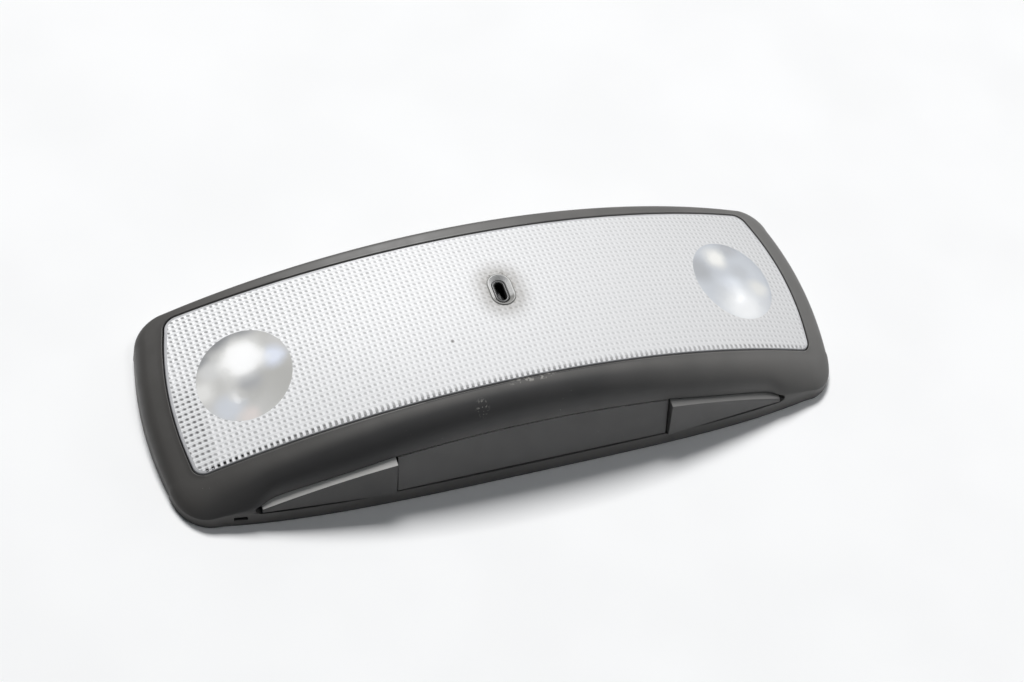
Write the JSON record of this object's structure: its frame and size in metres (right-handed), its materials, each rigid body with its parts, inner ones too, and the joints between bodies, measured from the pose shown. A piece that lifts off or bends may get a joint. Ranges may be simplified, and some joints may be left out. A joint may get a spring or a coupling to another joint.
{
  "type": "car interior light",
  "caption": "Long crowned car roof lamp: dark frame, prismatic lens with clear reading windows, sensor slot, wedge keys and a flap switch.",
  "frame": {"origin": "under the middle of the lamp, in the plane of the rim that lies against the roof lining", "axes": "+X along the lamp, -Y towards the keys, +Z out of the rim face through the lens"},
  "size_m": [0.221, 0.0761, 0.0342],
  "materials": {
    "frame_plastic": "fine satin grain",
    "key_plastic": "fine satin grain",
    "lens_plastic": "clear with prisms",
    "reflector_plate": "vapour plated",
    "white_plastic": "moulded",
    "cover_plastic": "moulded",
    "bulb_glass": "clear",
    "holder_plastic": "moulded",
    "contact_metal": "bright",
    "board_laminate": "solder mask",
    "switch_plastic": "moulded",
    "plunger_plastic": "moulded",
    "header_plastic": "moulded",
    "pin_metal": "tinned",
    "sleeve_plastic": "moulded",
    "sensor_plastic": "dark filter",
    "screw_steel": "zinc plated",
    "clip_steel": "spring steel"
  },
  "bodies": {
    "lamp": {"bezel": "frame_plastic", "lens": "lens_plastic", "back_housing": "cover_plastic", "left_reading_reflector": "reflector_plate", "right_reading_reflector": "reflector_plate", "main_reflector": "white_plastic", "left_reading_bulb": "bulb_glass", "right_reading_bulb": "bulb_glass", "left_bulb_holder": "holder_plastic", "right_bulb_holder": "holder_plastic", "left_main_bulb": "bulb_glass", "right_main_bulb": "bulb_glass", "left_outer_contact": "contact_metal", "left_inner_contact": "contact_metal", "right_inner_contact": "contact_metal", "right_outer_contact": "contact_metal", "circuit_board": "board_laminate", "left_key_switch": "switch_plastic", "main_key_switch": "switch_plastic", "right_key_switch": "switch_plastic", "connector_header": "header_plastic", "connector_pins": "pin_metal", "sensor_sleeve": "sleeve_plastic", "sensor_capsule": "sensor_plastic", "cover_screws": "screw_steel", "left_roof_clip": "clip_steel", "right_roof_clip": "clip_steel"},
    "left_key": {"left_reading_button": "key_plastic", "left_plunger": "plunger_plastic"},
    "right_key": {"right_reading_button": "key_plastic", "right_plunger": "plunger_plastic"},
    "main_key": {"main_light_switch": "key_plastic", "main_plunger": "plunger_plastic"}
  },
  "joints": [
    {"name": "left_key_press", "type": "hinge", "parent": "lamp", "child": "left_key", "pos_m": [-0.0833, -0.02734, 0.0046], "axis": [0, 0.2164, 0.9763], "range_deg": [0, 1.8], "stiffness_Nm_per_rad": 0.9},
    {"name": "right_key_press", "type": "hinge", "parent": "lamp", "child": "right_key", "pos_m": [0.0833, -0.02734, 0.0046], "axis": [0, -0.2164, -0.9763], "range_deg": [0, 1.8], "stiffness_Nm_per_rad": 0.9},
    {"name": "main_key_press", "type": "slide", "parent": "lamp", "child": "main_key", "axis": [0, 0.9763, -0.2164], "range_m": [0, 0.001], "stiffness_N_per_m": 900}
  ]
}
